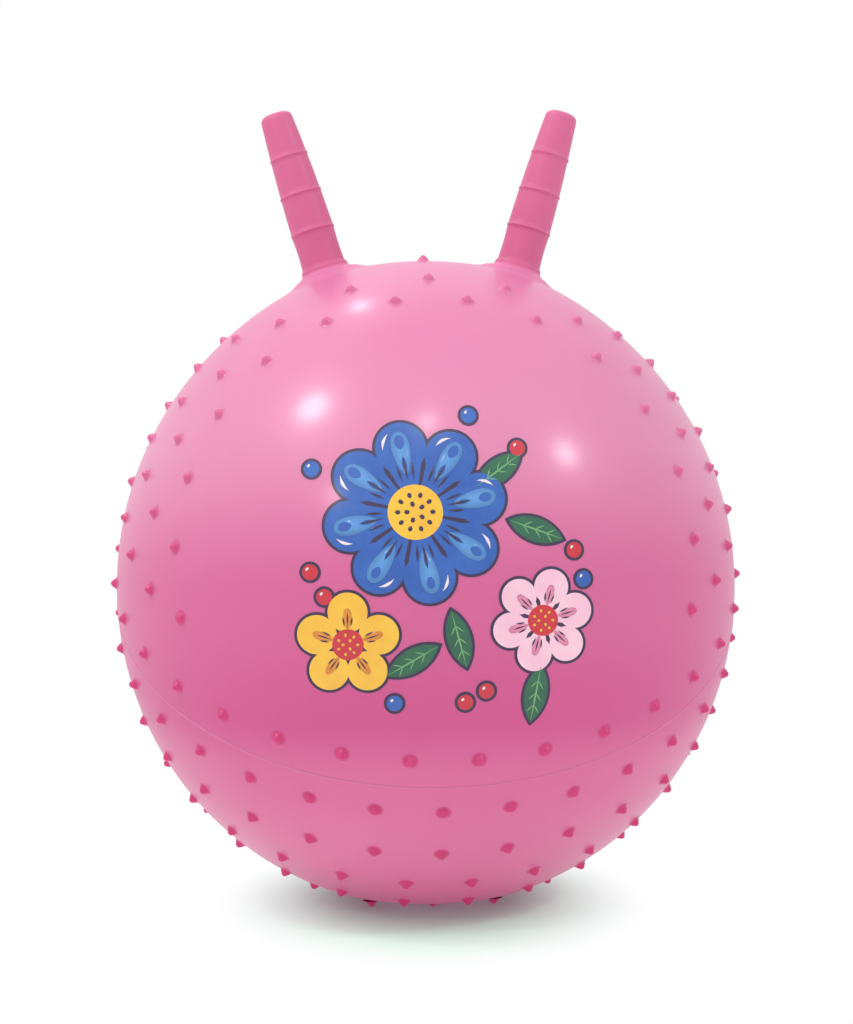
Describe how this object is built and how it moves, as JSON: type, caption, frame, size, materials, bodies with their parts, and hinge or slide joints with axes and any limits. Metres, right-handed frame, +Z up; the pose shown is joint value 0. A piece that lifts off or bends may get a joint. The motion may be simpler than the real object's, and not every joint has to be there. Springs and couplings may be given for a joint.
{
  "type": "hopper ball",
  "caption": "Air-filled hopper ball in glossy pink vinyl with two ribbed horn grips, raised bumps, a printed flower picture on the front and a plugged valve at the back.",
  "frame": {"origin": "on the floor under the middle of the ball", "axes": "+Z up between the horns, +X towards the right horn, the print faces -Y and the valve +Y"},
  "size_m": [0.4572, 0.4533, 0.5781],
  "materials": {
    "skin": "glossy, slightly translucent soft vinyl",
    "skin_line": "glossy soft vinyl",
    "bumps": "glossy, slightly translucent soft vinyl",
    "horns": "glossy soft vinyl",
    "valve_seat": "satin soft vinyl",
    "valve_plug": "satin white plastic",
    "ink_dark": "gloss print",
    "ink_blue": "gloss print",
    "ink_pink": "gloss print",
    "ink_yellow": "gloss print",
    "ink_red": "gloss print",
    "ink_green": "gloss print"
  },
  "bodies": {
    "ball": {"upper_skin": "skin", "lower_skin": "skin", "parting_line": "skin_line", "upper_bumps": "bumps", "lower_bumps": "bumps", "left_horn": "horns", "right_horn": "horns", "valve_seat": "valve_seat", "print_outlines": "ink_dark", "print_blue": "ink_blue", "print_pink": "ink_pink", "print_yellow": "ink_yellow", "print_red": "ink_red", "print_green": "ink_green"},
    "plug": {"valve_plug": "valve_plug"}
  },
  "joints": [
    {"name": "plug_pull", "type": "slide", "parent": "ball", "child": "plug", "axis": [0, 0.9815, 0.1916], "range_m": [0, 0.03]}
  ]
}
